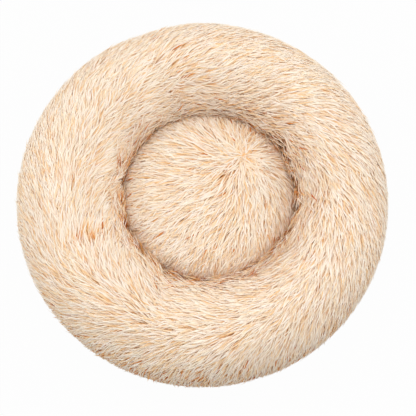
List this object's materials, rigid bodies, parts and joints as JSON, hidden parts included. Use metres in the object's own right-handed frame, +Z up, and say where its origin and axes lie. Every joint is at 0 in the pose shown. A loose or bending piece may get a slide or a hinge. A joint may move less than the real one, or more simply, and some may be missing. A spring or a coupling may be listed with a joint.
{
  "type": "round pet bed",
  "caption": "Round plush pet bed: a fat stuffed ring of long-pile plush round a crowned seat, on a base cloth with a zip.",
  "frame": {"origin": "centre of the underside, on the surface that the bed stands on", "axes": "+Z up through the middle of the well, -Y to the front of the bed, X along the zip in the underside"},
  "size_m": [0.6, 0.6, 0.178],
  "materials": {
    "plush": "long shaggy cream plush, pile about 38 mm",
    "liner_cloth": "thin white non-woven cloth",
    "fibre_fill": "loose white polyester fibre",
    "base_cloth": "plain-woven oxford cloth with small rubbery grip dots",
    "zip_tape": "herringbone-woven tape",
    "zip_teeth": "moulded, lightly glossy",
    "zip_metal": "plated zinc, satin"
  },
  "bodies": {
    "bed": {"ring_panel_back_right": "plush", "ring_panel_left": "plush", "ring_panel_front_right": "plush", "seat_cover": "plush", "ring_liner_upper": "liner_cloth", "ring_liner_lower": "liner_cloth", "seat_liner_upper": "liner_cloth", "seat_liner_lower": "liner_cloth", "ring_fill": "fibre_fill", "seat_fill": "fibre_fill", "base_cloth_back": "base_cloth", "base_cloth_front": "base_cloth", "zip_tape_back": "zip_tape", "zip_tape_front": "zip_tape", "zip_teeth_back": "zip_teeth", "zip_teeth_front": "zip_teeth", "zip_top_stop_back": "zip_metal", "zip_top_stop_front": "zip_metal", "zip_bottom_stop": "zip_metal"},
    "slider": {"zip_slider": "zip_metal"},
    "pull": {"zip_pull": "zip_metal"}
  },
  "joints": [
    {"name": "zip_slide", "type": "slide", "parent": "bed", "child": "slider", "axis": [1, 0, 0], "range_m": [-0.2885, 0], "deforming": ["zip_teeth_back", "zip_teeth_front"]},
    {"name": "pull_swing", "type": "hinge", "parent": "slider", "child": "pull", "pos_m": [0.1462, 0, 0.0063], "axis": [0, -1, 0], "range_deg": [0, 156]}
  ]
}
